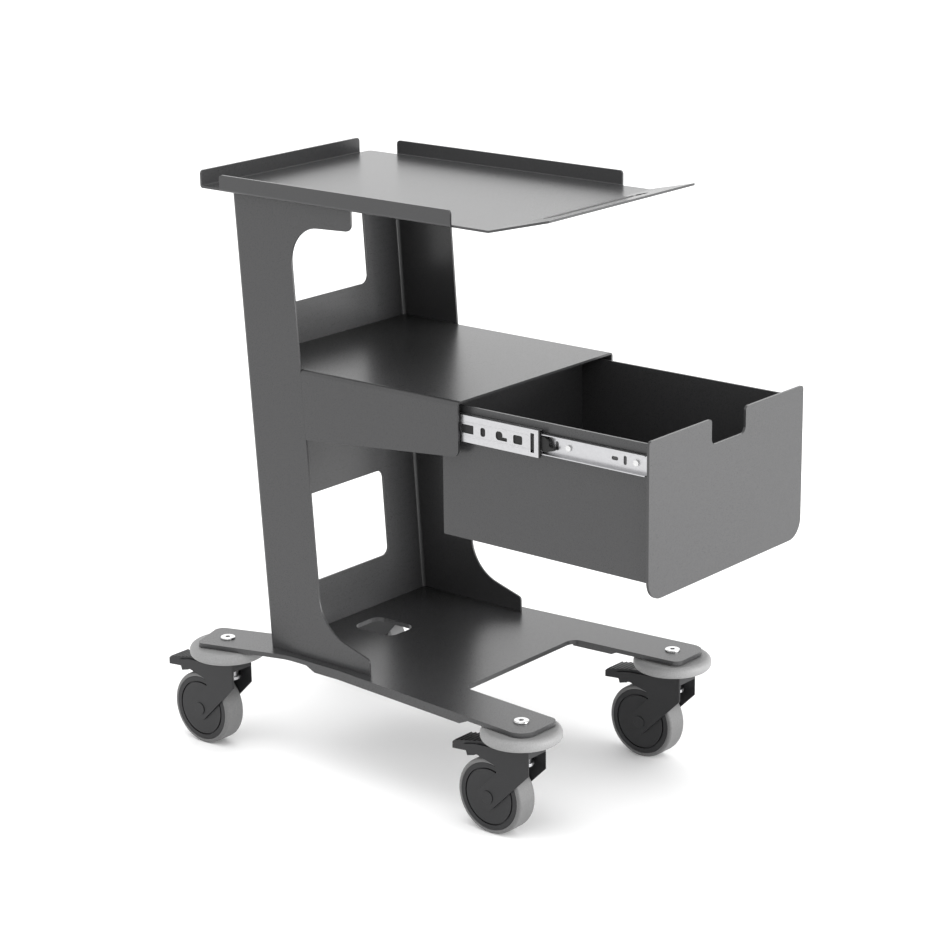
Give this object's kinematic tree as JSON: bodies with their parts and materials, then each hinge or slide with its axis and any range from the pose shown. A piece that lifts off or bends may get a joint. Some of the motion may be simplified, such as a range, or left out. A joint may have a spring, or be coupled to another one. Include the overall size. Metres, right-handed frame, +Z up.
{
  "type": "instrument cart",
  "caption": "Wheeled sheet-metal instrument cart: tray with raised edges, shelf with a drawer on telescopic slides, leaning back column and a braked swivel caster under each arm.",
  "frame": {"origin": "centre of the footprint at floor level, with the drawer open as it stands at rest", "axes": "+Z up, -Y towards the front where the drawer opens, X across the cart"},
  "size_m": [0.4388, 0.789, 0.7854],
  "materials": {
    "powder_coat": "fine textured dark grey powder coat",
    "zinc_steel": "bright zinc-plated strip",
    "bolt_steel": "nickel-plated steel",
    "caster_plastic": "charcoal moulded nylon",
    "bumper_grey": "light grey soft plastic",
    "tyre_grey": "non-marking grey rubber",
    "slide_plastic": "black moulded plastic"
  },
  "bodies": {
    "frame": {"top_tray": "powder_coat", "column": "powder_coat", "base_plate": "powder_coat", "drawer_housing": "powder_coat", "slide_left_cabinet_member": "zinc_steel", "slide_right_cabinet_member": "zinc_steel", "slide_cabinet_screws": "bolt_steel", "caster_front_left_bumper_disc": "bumper_grey", "caster_front_left_stem_bolt": "bolt_steel", "caster_front_left_bearing": "zinc_steel", "caster_front_right_bumper_disc": "bumper_grey", "caster_front_right_stem_bolt": "bolt_steel", "caster_front_right_bearing": "zinc_steel", "caster_rear_left_bumper_disc": "bumper_grey", "caster_rear_left_stem_bolt": "bolt_steel", "caster_rear_left_bearing": "zinc_steel", "caster_rear_right_bumper_disc": "bumper_grey", "caster_rear_right_stem_bolt": "bolt_steel", "caster_rear_right_bearing": "zinc_steel"},
    "drawer": {"drawer_box": "powder_coat", "drawer_front": "powder_coat", "slide_left_drawer_member": "zinc_steel", "slide_right_drawer_member": "zinc_steel", "slide_left_release_lever": "slide_plastic", "slide_right_release_lever": "slide_plastic", "slide_drawer_screws": "bolt_steel", "front_panel_screws": "bolt_steel"},
    "slide_left_middle": {"slide_left_middle_member": "zinc_steel", "slide_left_front_clip": "slide_plastic"},
    "slide_left_outer_cage": {"slide_left_outer_balls": "slide_plastic"},
    "slide_left_inner_cage": {"slide_left_inner_balls": "slide_plastic"},
    "slide_right_middle": {"slide_right_middle_member": "zinc_steel", "slide_right_front_clip": "slide_plastic"},
    "slide_right_outer_cage": {"slide_right_outer_balls": "slide_plastic"},
    "slide_right_inner_cage": {"slide_right_inner_balls": "slide_plastic"},
    "caster_front_left_swivel": {"caster_front_left_fork": "caster_plastic", "caster_front_left_axle": "caster_plastic", "caster_front_left_pedal_pin": "bolt_steel"},
    "caster_front_left_wheel": {"caster_front_left_rim": "caster_plastic", "caster_front_left_tyre": "tyre_grey"},
    "caster_front_left_pedal": {"caster_front_left_brake_pedal": "caster_plastic"},
    "caster_front_right_swivel": {"caster_front_right_fork": "caster_plastic", "caster_front_right_axle": "caster_plastic", "caster_front_right_pedal_pin": "bolt_steel"},
    "caster_front_right_wheel": {"caster_front_right_rim": "caster_plastic", "caster_front_right_tyre": "tyre_grey"},
    "caster_front_right_pedal": {"caster_front_right_brake_pedal": "caster_plastic"},
    "caster_rear_left_swivel": {"caster_rear_left_fork": "caster_plastic", "caster_rear_left_axle": "caster_plastic", "caster_rear_left_pedal_pin": "bolt_steel"},
    "caster_rear_left_wheel": {"caster_rear_left_rim": "caster_plastic", "caster_rear_left_tyre": "tyre_grey"},
    "caster_rear_left_pedal": {"caster_rear_left_brake_pedal": "caster_plastic"},
    "caster_rear_right_swivel": {"caster_rear_right_fork": "caster_plastic", "caster_rear_right_axle": "caster_plastic", "caster_rear_right_pedal_pin": "bolt_steel"},
    "caster_rear_right_wheel": {"caster_rear_right_rim": "caster_plastic", "caster_rear_right_tyre": "tyre_grey"},
    "caster_rear_right_pedal": {"caster_rear_right_brake_pedal": "caster_plastic"}
  },
  "joints": [
    {"name": "drawer_slide", "type": "slide", "parent": "frame", "child": "drawer", "axis": [0, -1, 0], "range_m": [-0.287, 0.006]},
    {"name": "slide_left_middle_travel", "type": "slide", "parent": "frame", "child": "slide_left_middle", "axis": [0, -1, 0], "range_m": [-0.1436, 0.0031]},
    {"name": "slide_left_outer_cage_travel", "type": "slide", "parent": "frame", "child": "slide_left_outer_cage", "axis": [0, -1, 0], "range_m": [-0.0718, 0.00155]},
    {"name": "slide_left_inner_cage_travel", "type": "slide", "parent": "frame", "child": "slide_left_inner_cage", "axis": [0, -1, 0], "range_m": [-0.2154, 0.00465]},
    {"name": "slide_right_middle_travel", "type": "slide", "parent": "frame", "child": "slide_right_middle", "axis": [0, -1, 0], "range_m": [-0.1436, 0.0031]},
    {"name": "slide_right_outer_cage_travel", "type": "slide", "parent": "frame", "child": "slide_right_outer_cage", "axis": [0, -1, 0], "range_m": [-0.0718, 0.00155]},
    {"name": "slide_right_inner_cage_travel", "type": "slide", "parent": "frame", "child": "slide_right_inner_cage", "axis": [0, -1, 0], "range_m": [-0.2154, 0.00465]},
    {"name": "caster_front_left_swivel_turn", "type": "hinge", "parent": "frame", "child": "caster_front_left_swivel", "pos_m": [-0.159, -0.2015, 0.12], "axis": [0, 0, 1], "continuous": true},
    {"name": "caster_front_left_wheel_spin", "type": "hinge", "parent": "caster_front_left_swivel", "child": "caster_front_left_wheel", "pos_m": [-0.159, -0.1613, 0.05], "axis": [1, 0, 0], "continuous": true},
    {"name": "caster_front_left_pedal_press", "type": "hinge", "parent": "caster_front_left_swivel", "child": "caster_front_left_pedal", "pos_m": [-0.159, -0.1755, 0.11], "axis": [-1, 0, 0], "range_deg": [0, 6]},
    {"name": "caster_front_right_swivel_turn", "type": "hinge", "parent": "frame", "child": "caster_front_right_swivel", "pos_m": [0.159, -0.2015, 0.12], "axis": [0, 0, 1], "continuous": true},
    {"name": "caster_front_right_wheel_spin", "type": "hinge", "parent": "caster_front_right_swivel", "child": "caster_front_right_wheel", "pos_m": [0.159, -0.1613, 0.05], "axis": [1, 0, 0], "continuous": true},
    {"name": "caster_front_right_pedal_press", "type": "hinge", "parent": "caster_front_right_swivel", "child": "caster_front_right_pedal", "pos_m": [0.159, -0.1755, 0.11], "axis": [-1, 0, 0], "range_deg": [0, 6]},
    {"name": "caster_rear_left_swivel_turn", "type": "hinge", "parent": "frame", "child": "caster_rear_left_swivel", "pos_m": [-0.168, 0.2955, 0.12], "axis": [0, 0, 1], "continuous": true},
    {"name": "caster_rear_left_wheel_spin", "type": "hinge", "parent": "caster_rear_left_swivel", "child": "caster_rear_left_wheel", "pos_m": [-0.168, 0.3357, 0.05], "axis": [1, 0, 0], "continuous": true},
    {"name": "caster_rear_left_pedal_press", "type": "hinge", "parent": "caster_rear_left_swivel", "child": "caster_rear_left_pedal", "pos_m": [-0.168, 0.3215, 0.11], "axis": [-1, 0, 0], "range_deg": [0, 6]},
    {"name": "caster_rear_right_swivel_turn", "type": "hinge", "parent": "frame", "child": "caster_rear_right_swivel", "pos_m": [0.168, 0.2955, 0.12], "axis": [0, 0, 1], "continuous": true},
    {"name": "caster_rear_right_wheel_spin", "type": "hinge", "parent": "caster_rear_right_swivel", "child": "caster_rear_right_wheel", "pos_m": [0.168, 0.3357, 0.05], "axis": [1, 0, 0], "continuous": true},
    {"name": "caster_rear_right_pedal_press", "type": "hinge", "parent": "caster_rear_right_swivel", "child": "caster_rear_right_pedal", "pos_m": [0.168, 0.3215, 0.11], "axis": [-1, 0, 0], "range_deg": [0, 6]}
  ],
  "couplings": [
    {"joint": "slide_left_middle_travel", "follows": "drawer_slide", "ratio": 0.5},
    {"joint": "slide_left_outer_cage_travel", "follows": "drawer_slide", "ratio": 0.25},
    {"joint": "slide_left_inner_cage_travel", "follows": "drawer_slide", "ratio": 0.75},
    {"joint": "slide_right_middle_travel", "follows": "drawer_slide", "ratio": 0.5},
    {"joint": "slide_right_outer_cage_travel", "follows": "drawer_slide", "ratio": 0.25},
    {"joint": "slide_right_inner_cage_travel", "follows": "drawer_slide", "ratio": 0.75}
  ]
}
